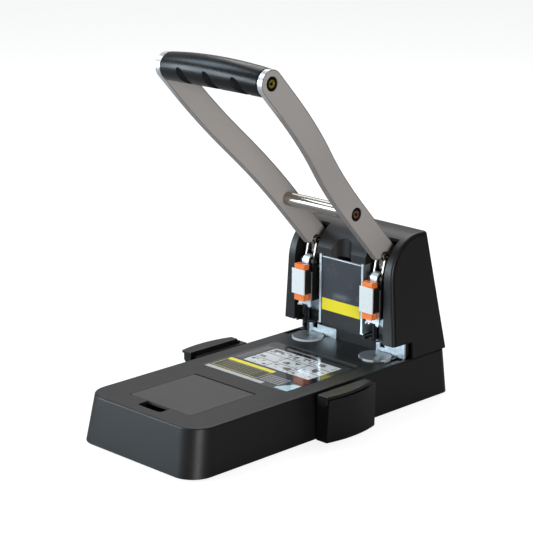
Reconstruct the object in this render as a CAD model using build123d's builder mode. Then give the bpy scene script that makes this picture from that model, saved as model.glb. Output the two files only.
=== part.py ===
from build123d import *
from math import atan2, cos, degrees, hypot, pi, radians, sin, tan
import os

os.makedirs("parts", exist_ok=True)

# Lever-operated two-hole punch for thick stacks of paper. All sizes are in millimetres.
# Frame: X to the right, Y from the front edge to the back, Z up from the table.
# The origin is the middle of the footprint, on the table.

# ---------------------------------------------------------------- driving dimensions
hole_spacing = 80.0          # ISO 838 two-hole pattern
edge_margin = 13.0           # hole centre to paper edge, ISO 838 allows 12 +- 1
hole_diameter = 6.0          # ISO 838 hole
throat_gap = 14.7            # 150 sheets of office paper

base_length = 310.9
base_top_z = 40.5
base_side_draft = 3.65       # how far each side leans in over the height
base_front_draft = 7.1
base_side_step = 3.5         # foot of the base stands outside the head by this much
base_back_draft = 1.8
base_wall = 3.0
base_front_radius = 20.0
base_back_radius = 9.0
base_edge_round = 1.6
foot_height = 1.0
foot_radius = 9.0
foot_inset = 17.0
foot_recess = 2.0

head_height = 149.2
head_back_to_punch = 65.1    # back of the head at the seam, behind the punch line
head_top_back_to_punch = 43.0
head_front_to_punch = 4.7    # column fronts, ahead of the punch line
head_lean = 7.1              # how far each side leans in over the height
head_round_radius = 37.3     # front top of the head, seen from the side
head_back_radius = 4.0
head_wall = 2.5
head_edge_round = 2.4
rim_groove_inset = 2.6       # shallow line in each side, along the front and top edges
rim_groove_width = 0.9
rim_groove_depth = 0.6
column_bottom_z = 55.4
column_width = 6.6           # at the top, beside each arm slot
slot_outer = 12.3            # arm slot, outwards from the punch axis
slot_inner = 12.0            # and inwards
knuckle_front_to_punch = 1.5
knuckle_bottom_z = 121.0
slot_back_from_punch = 15.0
head_skirt_from_punch = 20.0  # side walls reach the base behind this line

pivot_from_punch = 20.6      # lever shaft, behind the punch line
pivot_z = 119.1
shaft_diameter = 12.0
running_fit = 0.05           # radial
piece_gap = 0.3              # between pieces that pass each other
seat_gap = 0.05              # between pieces that seat on each other

arm_width = 22.4
arm_thickness = 5.0
grip_spacing = 115.8         # between the arm centres at the grip
arm_angle = 46.77            # above horizontal, at rest
arm_length = 248.0           # shaft to grip axis
arm_bend_start = 26.4        # from the grip axis
arm_bend_length = 147.2
crossbar_from_grip = 174.2
crossbar_diameter = 12.0
grip_diameter = 25.6         # in its middle
grip_end_diameter = 23.2
grip_bow = 2.8               # the grip bows up and out in its middle
grip_core_diameter = 12.0

lever_travel = 50.0          # degrees
pin_to_shaft = 18.0          # link pin, along the arm from the shaft
pin_across = -3.4            # and towards the arm's front edge
disc_radius = 14.3
disc_thickness = 3.0
disc_proud = 1.5
disc_hole_diameter = 2.0

guide_travel = 54.5
guide_length = 60.0
guide_inner_x = 75.5         # inner lip edges take an A5 sheet with some play at rest

# ---------------------------------------------------------------- derived places
arm_spacing = hole_spacing    # each arm stands over its punch
column_inner_x = hole_spacing / 2 + slot_outer
knuckle_half_width = hole_spacing / 2 - slot_inner
head_top_half_width = column_inner_x + column_width
head_half_width = head_top_half_width + head_lean     # at the seam with the base
half_width = head_half_width + base_side_step
half_length = base_length / 2
punch_y = half_length - (head_back_to_punch + base_back_draft + 0.3)
unit_xs = {"left": -hole_spacing / 2, "right": hole_spacing / 2}
sides = {"left": -1, "right": 1}
pivot_y = punch_y + pivot_from_punch
column_front_y = punch_y - head_front_to_punch
stop_y = punch_y + edge_margin
throat_top_z = base_top_z + throat_gap
disc_top_z = base_top_z + disc_proud
arm_u = (cos(radians(arm_angle)), -sin(radians(arm_angle)))    # (y, z), grip to shaft
arm_n = (sin(radians(arm_angle)), cos(radians(arm_angle)))     # (y, z), front to back edge
pin_reach = hypot(pin_to_shaft, pin_across)
pin_tilt = radians(arm_angle) + atan2(pin_across, pin_to_shaft)
punch_stroke = pin_reach * (sin(pin_tilt) - sin(pin_tilt - radians(lever_travel)))
cutter_tip_z = disc_top_z + piece_gap + punch_stroke


def along_arm(distance, across=0.0):
    """Point (y, z) at a distance from the grip axis, and across towards the back edge."""
    grip_y = pivot_y - arm_length * arm_u[0]
    grip_z = pivot_z - arm_length * arm_u[1]
    return (grip_y + distance * arm_u[0] + across * arm_n[0],
            grip_z + distance * arm_u[1] + across * arm_n[1])


def block(x0, x1, y0, y1, z0, z1, mode=Mode.ADD):
    """Box between two corners, added to or cut from the part being built."""
    with Locations(((x0 + x1) / 2, (y0 + y1) / 2, (z0 + z1) / 2)):
        Box(x1 - x0, y1 - y0, z1 - z0, mode=mode)


def rod(x0, x1, y, z, radius, mode=Mode.ADD):
    """Cylinder along X between two X values."""
    with Locations(Location(((x0 + x1) / 2, y, z), (0, 90, 0))):
        Cylinder(radius, x1 - x0, mode=mode)


def post(x, y, z0, z1, radius, mode=Mode.ADD):
    """Cylinder along Z between two heights."""
    with Locations((x, y, (z0 + z1) / 2)):
        Cylinder(radius, z1 - z0, mode=mode)


def save(builder, label):
    """Label a finished piece and write it under its own name."""
    builder.part.label = label
    export_step(builder.part, "parts/" + label + ".step")


# ---------------------------------------------------------------- base casing
def base_outline(z, inset):
    """Rounded footprint of the base at height z, drawn in by inset."""
    rise = (z - foot_height) / (base_top_z - foot_height)
    half_x = half_width - base_side_draft * rise - inset
    front = -half_length + base_front_draft * rise + inset
    back = half_length - base_back_draft * rise - inset
    with BuildSketch(Plane.XY.offset(z)) as outline:
        with Locations((0, (front + back) / 2)):
            Rectangle(2 * half_x, back - front)
        corners = outline.vertices().sort_by(Axis.Y)
        fillet(corners[:2], max(base_front_radius - inset, 1.0))
        corners = outline.vertices().group_by(Axis.Y)[-1]
        fillet(corners, max(base_back_radius - inset, 1.0))
    return outline.sketch


lid_half_width = 35.6
lid_from_front = 29.7
lid_to_label = 19.1
label_length = 91.0
label_from_punch = 30.9
label_back_y = punch_y - label_from_punch
label_front_y = label_back_y - label_length
lid_front_y = -half_length + lid_from_front
lid_back_y = label_front_y - lid_to_label
lid_gap = 0.4
lid_thickness = 2.4
lid_barrel_radius = 2.0
lid_pin_radius = 1.1
lid_axis_y = lid_back_y - lid_barrel_radius
lid_axis_z = base_top_z - lid_barrel_radius
lid_boss_width = 3.0
notch_half_width = 13.5
notch_length = 12.0
notch_radius = 3.0

label_half_width = half_width - 19.7
label_thickness = 0.6
label_proud = 0.2
label_radius = 5.0
label_clearance = 0.2
lip_left_x = -label_half_width + 10.8
lip_right_x = label_half_width - 0.8
lip_width = 1.6
lip_height = 0.9
lip_gap = 0.4

pocket_inner_x = column_inner_x + 2.2
pocket_outer_x = head_half_width - 3.0
pocket_depth = 1.5
pocket_front_y = punch_y - 7.0
pocket_back_y = stop_y - 0.4
disc_hole_radius = disc_radius + 0.9

rack_height = 6.0
rack_width = 8.0
rack_bottom_z = 16.0
guide_from_punch = 106.0      # front of the paper guides, ahead of the punch line
guide_front_y = punch_y - guide_from_punch
pinion_y = guide_front_y + 26.0
pinion_radius = 10.0
pinion_teeth = 20
rack_offset = pinion_radius + rack_width / 2 + piece_gap
rack_ys = {"left": pinion_y + rack_offset, "right": pinion_y - rack_offset}
well_front_y = stop_y + 3.6     # the open well under the head
well_back_y = punch_y + 46.0
well_half_width = head_half_width - 6.0
plate_thickness = 2.5
plate_bottom_z = foot_height + 0.4
plate_top_z = plate_bottom_z + plate_thickness
plate_inset = base_wall + 0.9
screw_radius = 2.0
screw_head_radius = 3.6
screw_post_radius = 4.5
screw_depth = 8.0
screw_inset = 11.0
screw_xs = half_width - base_wall - screw_inset
screw_ys = half_length - base_wall - screw_inset - 2.0

with BuildPart() as base_casing:
    add(base_outline(foot_height, 0.0))
    add(base_outline(base_top_z, 0.0))
    loft()
    top_rim = base_casing.faces().sort_by(Axis.Z)[-1].edges()
    fillet(top_rim, base_edge_round)
    with BuildPart(mode=Mode.PRIVATE) as base_hollow:
        add(base_outline(foot_height, base_wall))
        add(base_outline(base_top_z - base_wall, base_wall))
        loft()
    add(base_hollow.part, mode=Mode.SUBTRACT)
    # lid opening and its finger notch
    block(-lid_half_width - lid_gap, lid_half_width + lid_gap, lid_front_y - lid_gap,
          lid_back_y + lid_gap, 0, base_top_z + 1, mode=Mode.SUBTRACT)
    with BuildSketch(Plane.XY.offset(base_top_z)) as finger_notch:
        with Locations((0, lid_front_y - notch_length / 2)):
            Rectangle(2 * notch_half_width, notch_length)
        fillet(finger_notch.vertices().group_by(Axis.Y)[0], notch_radius)
    extrude(amount=-base_wall - 1, mode=Mode.SUBTRACT)
    # bosses that hold the ends of the lid pin
    for side in (-1, 1):
        inner = lid_half_width + lid_gap
        block(min(side * inner, side * (inner + lid_boss_width)),
              max(side * inner, side * (inner + lid_boss_width)),
              lid_axis_y - 3.0, lid_axis_y + 3.0,
              lid_axis_z - 3.0, base_top_z - base_wall)
    rod(-lid_half_width - lid_gap - lid_boss_width, lid_half_width + lid_gap + lid_boss_width,
        lid_axis_y, lid_axis_z, lid_pin_radius + seat_gap, mode=Mode.SUBTRACT)
    # label field, with the thin raised lip along its back edge
    with BuildSketch(Plane.XY.offset(base_top_z)) as label_field:
        with Locations((0, (label_front_y + label_back_y) / 2)):
            RectangleRounded(2 * (label_half_width + label_clearance),
                             label_back_y - label_front_y + 2 * label_clearance,
                             label_radius + label_clearance)
    extrude(amount=-(label_thickness - label_proud), mode=Mode.SUBTRACT)
    block(lip_left_x, lip_right_x, label_back_y + lip_gap, label_back_y + lip_gap + lip_width,
          base_top_z - 1.0, base_top_z + lip_height)
    # disc holes, disc pockets and the well under the head
    for x in unit_xs.values():
        post(x, punch_y, base_top_z - base_wall - 1, base_top_z + 1, disc_hole_radius,
             mode=Mode.SUBTRACT)
    for side in (-1, 1):
        block(min(side * pocket_inner_x, side * pocket_outer_x),
              max(side * pocket_inner_x, side * pocket_outer_x), pocket_front_y,
              pocket_back_y, base_top_z - pocket_depth, base_top_z + 1, mode=Mode.SUBTRACT)
    block(-well_half_width, well_half_width, well_front_y, well_back_y,
          base_top_z - base_wall - 1, base_top_z + 1, mode=Mode.SUBTRACT)
    # side slots for the guide racks
    for side, rack_y in rack_ys.items():
        sign = sides[side]
        block(min(sign * half_width * 0.8, sign * half_width * 1.1),
              max(sign * half_width * 0.8, sign * half_width * 1.1),
              rack_y - rack_width / 2 - piece_gap, rack_y + rack_width / 2 + piece_gap,
              rack_bottom_z - piece_gap, rack_bottom_z + rack_height + piece_gap,
              mode=Mode.SUBTRACT)
    # screw posts for the floor plate
    for sx in (-1, 1):
        for sy in (-1, 1):
            post(sx * screw_xs, sy * screw_ys, plate_top_z + seat_gap,
                 base_top_z - base_wall, screw_post_radius)
            post(sx * screw_xs, sy * screw_ys, plate_top_z, plate_top_z + screw_depth,
                 screw_radius, mode=Mode.SUBTRACT)
save(base_casing, "base_casing")

# ---------------------------------------------------------------- floor plate, feet, screws
foot_xs = half_width - base_wall - foot_inset + 4.0
foot_ys = half_length - base_wall - foot_inset - 13.0
with BuildPart() as floor_plate:
    add(base_outline(plate_bottom_z, plate_inset))
    extrude(amount=plate_thickness)
    with Locations(*[(sx * screw_xs, sy * screw_ys, plate_bottom_z + plate_thickness / 2)
                     for sx in (-1, 1) for sy in (-1, 1)]):
        Cylinder(screw_radius + 0.2, plate_thickness + 1, mode=Mode.SUBTRACT)
save(floor_plate, "floor_plate")

with BuildPart() as rubber_feet:
    with Locations(*[(sx * foot_xs, sy * foot_ys, plate_bottom_z / 2)
                     for sx in (-1, 1) for sy in (-1, 1)]):
        Cylinder(foot_radius, plate_bottom_z)
    chamfer(rubber_feet.faces().group_by(Axis.Z)[0].edges(), 0.5)
save(rubber_feet, "rubber_feet")

with BuildPart() as floor_screws:
    for sx in (-1, 1):
        for sy in (-1, 1):
            post(sx * screw_xs, sy * screw_ys, foot_height - 0.6, plate_bottom_z,
                 screw_head_radius)
            post(sx * screw_xs, sy * screw_ys, foot_height - 0.6, plate_top_z + screw_depth - 1.0,
                 screw_radius - seat_gap)
            with Locations((sx * screw_xs, sy * screw_ys, foot_height - 0.6)):
                Box(4.4, 0.9, 0.9, mode=Mode.SUBTRACT)
                Box(0.9, 4.4, 0.9, mode=Mode.SUBTRACT)
save(floor_screws, "floor_screws")

# ---------------------------------------------------------------- label panel, storage lid and bin
with BuildPart() as label_panel:
    with BuildSketch(Plane.XY.offset(base_top_z - (label_thickness - label_proud))):
        with Locations((0, (label_front_y + label_back_y) / 2)):
            RectangleRounded(2 * label_half_width, label_back_y - label_front_y, label_radius)
    extrude(amount=label_thickness)
save(label_panel, "label_panel")

with BuildPart() as storage_lid:
    block(-lid_half_width, lid_half_width, lid_front_y, lid_axis_y,
          base_top_z - lid_thickness, base_top_z)
    fillet(storage_lid.edges().filter_by(Axis.Z).group_by(Axis.Y)[0], 2.0)
    rod(-lid_half_width, lid_half_width, lid_axis_y, lid_axis_z, lid_barrel_radius)
    rod(-lid_half_width, lid_half_width, lid_axis_y, lid_axis_z, lid_pin_radius + running_fit,
        mode=Mode.SUBTRACT)
save(storage_lid, "storage_lid")

with BuildPart() as lid_pin:
    rod(-lid_half_width - lid_gap - lid_boss_width + 0.3,
        lid_half_width + lid_gap + lid_boss_width - 0.3, lid_axis_y, lid_axis_z, lid_pin_radius)
save(lid_pin, "lid_pin")

bin_wall = 1.6
bin_inset = 3.0
bin_back_inset = 9.0
bin_half_width = lid_half_width - bin_inset
bin_front_y = lid_front_y - notch_length - 2.0
bin_back_y = lid_back_y - bin_back_inset
bin_bottom_z = 14.0
bin_top_z = base_top_z - base_wall - seat_gap
bin_flange = 5.6
bin_flange_thickness = 1.2
bin_corner_radius = 5.0
bin_flange_inset = 6.0
with BuildPart() as storage_bin:
    block(-bin_half_width, bin_half_width, bin_front_y, bin_back_y, bin_bottom_z, bin_top_z)
    fillet(storage_bin.edges().filter_by(Axis.Z), bin_corner_radius)
    fillet(storage_bin.faces().sort_by(Axis.Z)[0].edges(), bin_corner_radius / 2)
    offset(amount=-bin_wall, openings=storage_bin.faces().sort_by(Axis.Z)[-1])
    # flange on both sides, seated under the casing top
    for side in (-1, 1):
        edge = bin_half_width - 0.5 * bin_wall
        block(min(side * edge, side * (bin_half_width + bin_flange)),
              max(side * edge, side * (bin_half_width + bin_flange)),
              bin_front_y + bin_flange_inset, bin_back_y - bin_flange_inset,
              bin_top_z - bin_flange_thickness, bin_top_z)
save(storage_bin, "storage_bin")

spare_count = 3
with BuildPart() as spare_discs:
    spare_gap = 2.0
    spare_x = bin_half_width - bin_wall - disc_radius - spare_gap
    spare_y = bin_back_y - bin_wall - disc_radius - spare_gap
    for step in range(spare_count):
        bottom = bin_bottom_z + bin_wall + seat_gap + step * (disc_thickness + seat_gap)
        post(spare_x, spare_y, bottom, bottom + disc_thickness, disc_radius)
        post(spare_x, spare_y, bottom, bottom + disc_thickness, disc_hole_diameter / 2,
             mode=Mode.SUBTRACT)
save(spare_discs, "spare_discs")

# ---------------------------------------------------------------- anvils and cutting discs
anvil_radius = disc_hole_radius + 2.0
anvil_top_z = disc_top_z - disc_thickness
disc_flat_depth = 1.1
disc_flat_angles = {"left": (118, 190), "right": (-115, -40)}
with BuildPart() as anvils:
    for x in unit_xs.values():
        post(x, punch_y, plate_top_z, base_top_z - base_wall - seat_gap, anvil_radius)
        post(x, punch_y, plate_top_z, anvil_top_z, disc_hole_radius - piece_gap)
save(anvils, "anvils")

for side, x in unit_xs.items():
    with BuildPart() as disc:
        post(x, punch_y, anvil_top_z + seat_gap, disc_top_z, disc_radius)
        post(x, punch_y, anvil_top_z, disc_top_z, disc_hole_diameter / 2, mode=Mode.SUBTRACT)
        for angle in disc_flat_angles[side]:
            reach = disc_radius - disc_flat_depth + 5.0
            with Locations(Location((x + reach * cos(radians(angle)),
                                     punch_y + reach * sin(radians(angle)), disc_top_z),
                                    (0, 0, angle))):
                Box(10.0, 2 * disc_radius, 4 * disc_thickness, mode=Mode.SUBTRACT)
        chamfer(disc.faces().sort_by(Axis.Z)[-1].edges().filter_by(GeomType.CIRCLE)
                .sort_by(Edge.length)[-1:], 0.3)
    save(disc, "disc_" + side)

# ---------------------------------------------------------------- paper guides
wall_inner_x = half_width + 1.5
foot_bulge = (11.6, 15.2, 10.4)     # outer face past the inner one: front, middle, back
shoulder_bulge = (14.0, 16.8, 10.8)   # the outer face leans out towards its top
neck_inset = 3.0
lip_bulge = (15.4, 17.6, 12.2)
lip_drop = 0.3
lip_thickness = 2.4
neck_height = 1.9
lip_tab_depth = 7.6                 # the lip turns down at its front end
lip_tab_width = 8.6
lip_tab_radius = 3.0
lip_bottom_z = base_top_z - lip_drop
lip_top_z = lip_bottom_z + lip_thickness
lip_front = guide_front_y - 3.5
lip_back = guide_front_y + guide_length - 7.0
wall_top_z = lip_bottom_z - neck_height
guide_bottom_z = 1.0
rack_engagement = 6.85              # rack left past the pinion at full travel


def guide_plan(z, sign, inner, front, back, bulge):
    """Plan of a paper guide: straight inside, bulging outside."""
    front_out, middle_out, back_out = (wall_inner_x + reach for reach in bulge)
    with BuildSketch(Plane.XY.offset(z)) as plan:
        with BuildLine():
            Polyline((sign * front_out, front), (sign * inner, front),
                     (sign * inner, back), (sign * back_out, back))
            ThreePointArc((sign * back_out, back), (sign * middle_out, (front + back) / 2),
                          (sign * front_out, front))
        make_face()
    return plan.sketch


for side, sign in sides.items():
    rack_y = rack_ys[side]
    with BuildPart() as guide:
        add(guide_plan(guide_bottom_z, sign, wall_inner_x, guide_front_y,
                       guide_front_y + guide_length, foot_bulge))
        add(guide_plan(wall_top_z, sign, wall_inner_x, guide_front_y,
                       guide_front_y + guide_length, shoulder_bulge))
        loft()
        add(guide_plan(wall_top_z, sign, guide_inner_x, guide_front_y + neck_inset,
                       guide_front_y + guide_length - 4.0,
                       [reach - neck_inset for reach in shoulder_bulge]))
        extrude(amount=lip_bottom_z - wall_top_z)
        add(guide_plan(lip_bottom_z, sign, guide_inner_x, lip_front, lip_back, lip_bulge))
        extrude(amount=lip_top_z - lip_bottom_z)
        lip_rim = guide.faces().sort_by(Axis.Z)[-1].edges()
        fillet(lip_rim, 0.6)
        with BuildSketch(Plane.XZ.offset(-lip_front)) as lip_tab:
            with Locations((sign * (guide_inner_x + lip_tab_width / 2),
                            lip_bottom_z + 0.5 - lip_tab_depth / 2)):
                Rectangle(lip_tab_width, lip_tab_depth + 1.0)
            fillet(lip_tab.vertices().group_by(Axis.Y)[0], lip_tab_radius)
        extrude(amount=-(guide_front_y + 1.0 - lip_front))
        # rack bar that runs into the base and meshes with the pinion
        low_x, high_x = sorted((-sign * (guide_travel + rack_engagement),
                                sign * (wall_inner_x + 2)))
        block(low_x, high_x, rack_y - rack_width / 2, rack_y + rack_width / 2,
              rack_bottom_z, rack_bottom_z + rack_height)
        # rack teeth: square notches along the edge that faces the pinion
        tooth_pitch = 2 * pi * pinion_radius / pinion_teeth
        toothed_y = rack_y - rack_width / 2 if side == "left" else rack_y + rack_width / 2
        with Locations(*[(-sign * (step - 0.5) * tooth_pitch, toothed_y,
                          rack_bottom_z + rack_height / 2) for step in range(-1, 19)]):
            Box(tooth_pitch / 2, 3.0, rack_height + 1, mode=Mode.SUBTRACT)
    save(guide, "paper_guide_" + side)

pinion_bore = 3.0
with BuildPart() as guide_pinion:
    with BuildSketch(Plane.XY.offset(rack_bottom_z - 0.5)):
        with Locations((0, pinion_y)):
            Circle(pinion_radius - 2.2)
        with Locations((0, pinion_y)):
            with PolarLocations(pinion_radius - 1.5, pinion_teeth):
                Rectangle(2.8, 1.5)
        with Locations((0, pinion_y)):
            Circle(pinion_bore + running_fit, mode=Mode.SUBTRACT)
    extrude(amount=rack_height + 1)
save(guide_pinion, "guide_pinion")

with BuildPart() as pinion_post:
    post(0, pinion_y, plate_top_z, rack_bottom_z - 0.5 - seat_gap, pinion_bore + 3.0)
    post(0, pinion_y, plate_top_z, rack_bottom_z + rack_height + 3.0, pinion_bore)
save(pinion_post, "pinion_post")

# ---------------------------------------------------------------- head cover
seam_z = base_top_z + 0.2
arc_centre_y = column_front_y + head_round_radius
arc_centre_z = head_height - head_round_radius


def head_side(inset, bottom):
    """Side outline of the head, drawn in by inset, on a plane left of the head."""
    front = column_front_y + inset
    top = head_height - inset
    radius = head_round_radius - inset
    back_slope = (head_back_to_punch - head_top_back_to_punch) / (head_height - seam_z)
    back_top = punch_y + head_top_back_to_punch - inset
    back_bottom = back_top + back_slope * (head_height - bottom)
    with BuildSketch(Plane.YZ.offset(-half_length)) as outline:
        with BuildLine():
            Line((front, bottom), (front, arc_centre_z))
            ThreePointArc((front, arc_centre_z),
                          (arc_centre_y - radius * cos(pi / 4),
                           arc_centre_z + radius * sin(pi / 4)),
                          (arc_centre_y, top))
            Polyline((arc_centre_y, top), (back_top, top), (back_bottom, bottom),
                     (front, bottom))
        make_face()
        back_corner = outline.vertices().filter_by(
            lambda corner: corner.Y > head_height - 2 * head_wall).sort_by(Axis.X)[-1:]
        fillet(back_corner, head_back_radius - inset)
    return outline.sketch


def head_front(inset, bottom):
    """Front outline of the head, a drafted block, on a plane behind the head."""
    lean = (head_half_width - head_top_half_width) / (head_height - seam_z)
    foot = head_half_width + lean * (seam_z - bottom) - inset
    with BuildSketch(Plane.XZ.offset(-2 * half_length)) as outline:
        with BuildLine():
            Polyline((-foot, bottom), (foot, bottom),
                     (head_top_half_width - inset, head_height),
                     (-head_top_half_width + inset, head_height), (-foot, bottom))
        make_face()
    return outline.sketch


def head_block(inset, bottom):
    """Whole drafted head block, drawn in by inset on every side but the bottom."""
    with BuildPart() as whole:
        extrude(head_side(inset, bottom), amount=2 * half_length, dir=(1, 0, 0))
        with BuildPart(mode=Mode.PRIVATE) as front_block:
            extrude(head_front(inset, bottom), amount=4 * half_length, dir=(0, -1, 0))
        add(front_block.part, mode=Mode.INTERSECT)
    return whole.part


rib_thickness = 2.2
outer_rib_x = column_inner_x + rib_thickness
inner_rib_x = knuckle_half_width - rib_thickness
panel_half_width = knuckle_half_width - 5.4
panel_bottom_z = 57.2
panel_top_z = 119.1
panel_thickness = 2.0
panel_front_y = punch_y - 1.1
panel_back_y = panel_front_y + panel_thickness
web_back_y = stop_y + 2.0
strip_outer_x = panel_half_width + 3.0   # inner legs of the punch channels
finger_radius = 13.0
finger_centre_y = punch_y - knuckle_front_to_punch - 6.0
throat_wall_thickness = 2.0
web_thickness = 1.6

with BuildPart() as head_cover:
    add(head_block(0.0, seam_z))
    # soft edges all round the top and the column fronts
    side_rims = head_cover.edges().filter_by(
        lambda edge: abs(edge.center().X) > head_top_half_width - 3
        and edge.center().Z > seam_z + 1)
    fillet(side_rims, head_edge_round)
    with BuildPart(mode=Mode.PRIVATE) as rim_grooves:
        extrude(head_side(rim_groove_inset, seam_z), amount=2 * half_length, dir=(1, 0, 0))
        extrude(head_side(rim_groove_inset + rim_groove_width, seam_z - 1),
                amount=2 * half_length, dir=(1, 0, 0), mode=Mode.SUBTRACT)
        extrude(head_front(rim_groove_depth, seam_z - 1), amount=4 * half_length,
                dir=(0, -1, 0), mode=Mode.SUBTRACT)
        block(-half_width, half_width, punch_y + head_top_back_to_punch - 6.0, half_length,
              0, head_height, mode=Mode.SUBTRACT)
    add(rim_grooves.part, mode=Mode.SUBTRACT)
    # hollow
    add(head_block(head_wall, seam_z - 1), mode=Mode.SUBTRACT)
    # ribs: the column's inner walls, the knuckle's walls and the wall behind the panel
    with BuildPart(mode=Mode.PRIVATE) as ribs:
        for side in (-1, 1):
            block(min(side * column_inner_x, side * outer_rib_x),
                  max(side * column_inner_x, side * outer_rib_x),
                  column_front_y + 1, punch_y + 8.0, column_bottom_z, head_height)
            block(min(side * inner_rib_x, side * knuckle_half_width),
                  max(side * inner_rib_x, side * knuckle_half_width),
                  punch_y - knuckle_front_to_punch, punch_y + 11.0, knuckle_bottom_z,
                  head_height)
        block(-knuckle_half_width, knuckle_half_width, punch_y - knuckle_front_to_punch,
              punch_y + 8.0, knuckle_bottom_z, head_height)
        block(-panel_half_width - 0.6, panel_half_width + 0.6, panel_back_y + seat_gap,
              panel_back_y + 2.4, panel_bottom_z, knuckle_bottom_z + 1)
        with BuildPart(mode=Mode.PRIVATE) as outer_head:
            add(head_block(0.6, seam_z))
        add(outer_head.part, mode=Mode.INTERSECT)
    add(ribs.part)
    # the knuckle stands back from the columns, and is hollowed by a finger groove
    block(-column_inner_x, column_inner_x, column_front_y - 1,
          punch_y - knuckle_front_to_punch, 0, head_height + 1, mode=Mode.SUBTRACT)
    # arm slots, open to the front
    for side in (-1, 1):
        block(min(side * knuckle_half_width, side * column_inner_x),
              max(side * knuckle_half_width, side * column_inner_x),
              column_front_y - 1, punch_y + slot_back_from_punch, column_bottom_z - 20,
              head_height + 1, mode=Mode.SUBTRACT)
        # open channel bay between the panel and the slot, below the knuckle
        block(min(side * (panel_half_width + 0.6), side * knuckle_half_width),
              max(side * (panel_half_width + 0.6), side * knuckle_half_width),
              column_front_y - 1, punch_y + slot_back_from_punch, 0, knuckle_bottom_z,
              mode=Mode.SUBTRACT)
    # the front of the head stops above the throat
    block(-head_half_width - 5, head_half_width + 5, column_front_y - 1,
          punch_y + head_skirt_from_punch, 0, column_bottom_z, mode=Mode.SUBTRACT)
    block(-panel_half_width - 1, panel_half_width + 1, column_front_y - 1,
          panel_back_y, 0, knuckle_bottom_z, mode=Mode.SUBTRACT)
    post(0, finger_centre_y, knuckle_bottom_z - 20, head_height + 2, finger_radius,
         mode=Mode.SUBTRACT)
    with BuildPart(mode=Mode.PRIVATE) as finger_wall:
        post(0, finger_centre_y, knuckle_bottom_z, head_height - 1.5, finger_radius + 2.2)
        post(0, finger_centre_y, knuckle_bottom_z, head_height, finger_radius,
             mode=Mode.SUBTRACT)
        block(-half_width, half_width, -half_length, punch_y - knuckle_front_to_punch, 0,
              head_height + 1, mode=Mode.SUBTRACT)
        with BuildPart(mode=Mode.PRIVATE) as finger_limit:
            add(head_block(0.6, seam_z))
        add(finger_limit.part, mode=Mode.INTERSECT)
    add(finger_wall.part)
save(head_cover, "head_cover")

# ---------------------------------------------------------------- centre panel and throat wall
with BuildPart() as centre_panel:
    block(-panel_half_width, panel_half_width, panel_front_y, panel_back_y,
          panel_bottom_z, panel_top_z)
    fillet(centre_panel.faces().sort_by(Axis.Y)[0].edges(), 0.5)
save(centre_panel, "centre_panel")

throat_wall_z0 = base_top_z + seat_gap
with BuildPart() as throat_wall:
    block(-strip_outer_x, strip_outer_x + 3.4, stop_y + web_thickness + 0.1,
          stop_y + web_thickness + 0.1 + throat_wall_thickness, throat_wall_z0,
          panel_bottom_z)
    block(-strip_outer_x + 1.2, strip_outer_x - 1.2, panel_back_y + seat_gap, web_back_y,
          panel_bottom_z - 1.6, panel_bottom_z - seat_gap)
save(throat_wall, "throat_wall")

# ---------------------------------------------------------------- punch channels and stop plates
leg_thickness = 1.6
strip_width = 2.3             # the inner legs show as two bright strips
leg_head_depth = 8.0
inner_leg_x = strip_outer_x - strip_width
outer_leg_x = column_inner_x - 0.4
outer_leg_front_y = punch_y + 5.5
leg_bottom_z = panel_bottom_z + 0.5
leg_top_z = knuckle_bottom_z - 0.3
web_top_z = pivot_z - arm_width / 2 - 3.0
web_bottom_z = throat_top_z + 2.3
web_front_y = stop_y + 0.1
foot_tab = 3.6
stop_left = -10.5             # stop plate edges, from the punch axis
stop_right = 22.0
stop_step_x = 0.0
stop_step_z = 49.5
stop_notch_left = -6.0
stop_notch_right = -0.5
stop_notch_z = 45.5
stop_arch_half_width = 8.0
for side, x in unit_xs.items():
    sign = sides[side]
    with BuildPart() as channel:
        low_x, high_x = sorted((sign * inner_leg_x, sign * outer_leg_x))
        block(low_x, high_x, web_front_y, web_front_y + web_thickness, web_bottom_z, web_top_z)
        low_x, high_x = sorted((sign * inner_leg_x, sign * strip_outer_x))
        block(low_x, high_x, punch_y - 1.2, web_front_y + web_thickness, leg_bottom_z,
              web_top_z)
        block(low_x, high_x, punch_y - 1.2, punch_y + leg_head_depth, web_top_z - 1, leg_top_z)
        low_x, high_x = sorted((sign * (outer_leg_x - leg_thickness), sign * outer_leg_x))
        block(low_x, high_x, outer_leg_front_y, web_front_y + web_thickness, web_bottom_z,
              web_top_z)
        # small turned foot at the bottom of the visible leg
        low_x, high_x = sorted((sign * inner_leg_x, sign * (inner_leg_x + foot_tab)))
        block(low_x, high_x, punch_y - 1.2, punch_y + 1.2, leg_bottom_z, leg_bottom_z + 1.2)
    save(channel, "channel_" + side)
    with BuildPart() as stop_plate:
        block(x + stop_left, x + stop_step_x, stop_y, stop_y + web_thickness,
              base_top_z + seat_gap, web_bottom_z - seat_gap)
        block(x + stop_step_x, x + stop_right, stop_y, stop_y + web_thickness,
              base_top_z + seat_gap, stop_step_z if side == "left" else web_bottom_z - seat_gap)
        block(x + stop_notch_left, x + stop_notch_right, stop_y - 1, stop_y + 4,
              stop_notch_z, web_bottom_z + 1, mode=Mode.SUBTRACT)
        # low arch over the back of the disc
        block(x - stop_arch_half_width, x + stop_arch_half_width, stop_y - 1, stop_y + 4,
              base_top_z - 1, disc_top_z + piece_gap, mode=Mode.SUBTRACT)
    save(stop_plate, "stop_plate_" + side)

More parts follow.
